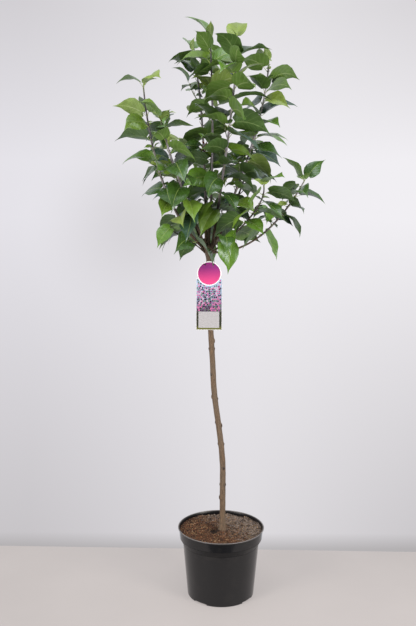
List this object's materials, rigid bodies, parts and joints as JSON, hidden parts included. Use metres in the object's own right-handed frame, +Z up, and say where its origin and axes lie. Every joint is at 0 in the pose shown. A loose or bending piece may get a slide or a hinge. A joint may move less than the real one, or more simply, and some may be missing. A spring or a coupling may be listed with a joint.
{
  "type": "potted lilac standard tree",
  "caption": "Young lilac trained as a standard: a bare swaying stem carries a round crown of heart-shaped leaves, in a collared nursery pot of peat with a hang tag.",
  "frame": {"origin": "centre of the pot's flat underside", "axes": "+Z up along the stem, -Y towards the front where the tag hangs, +X to the right seen from the front"},
  "size_m": [0.683, 0.571, 1.9446],
  "materials": {
    "pot": "satin black moulded polypropylene",
    "peat": "moist fibrous peat",
    "bark": "smooth young grey-brown bark with pores and knots",
    "foliage": "smooth semi-gloss leaf with a paler, duller underside",
    "tag": "printed satin plastic card",
    "tie": "black elastic"
  },
  "bodies": {
    "root": {"pot": "pot", "peat": "peat", "trunk": "bark", "bough_centre_right": "bark", "bough_centre": "bark", "bough_centre_left": "bark", "bough_left_outer": "bark", "bough_left_inner": "bark", "bough_right_inner": "bark", "bough_right_front": "bark", "bough_right_outer": "bark", "bough_back_left": "bark", "bough_back_right": "bark", "bough_back": "bark", "bough_low_left": "bark", "bough_low_front": "bark", "bough_low_back": "bark", "foliage_centre_right": "foliage", "foliage_centre": "foliage", "foliage_centre_left": "foliage", "foliage_left_outer": "foliage", "foliage_left_inner": "foliage", "foliage_right_inner": "foliage", "foliage_right_front": "foliage", "foliage_right_outer": "foliage", "foliage_back_left": "foliage", "foliage_back_right": "foliage", "foliage_back": "foliage", "foliage_low_left": "foliage", "foliage_low_front": "foliage", "foliage_low_back": "foliage", "tag": "tag", "tag_tie": "tie"}
  },
  "joints": []
}
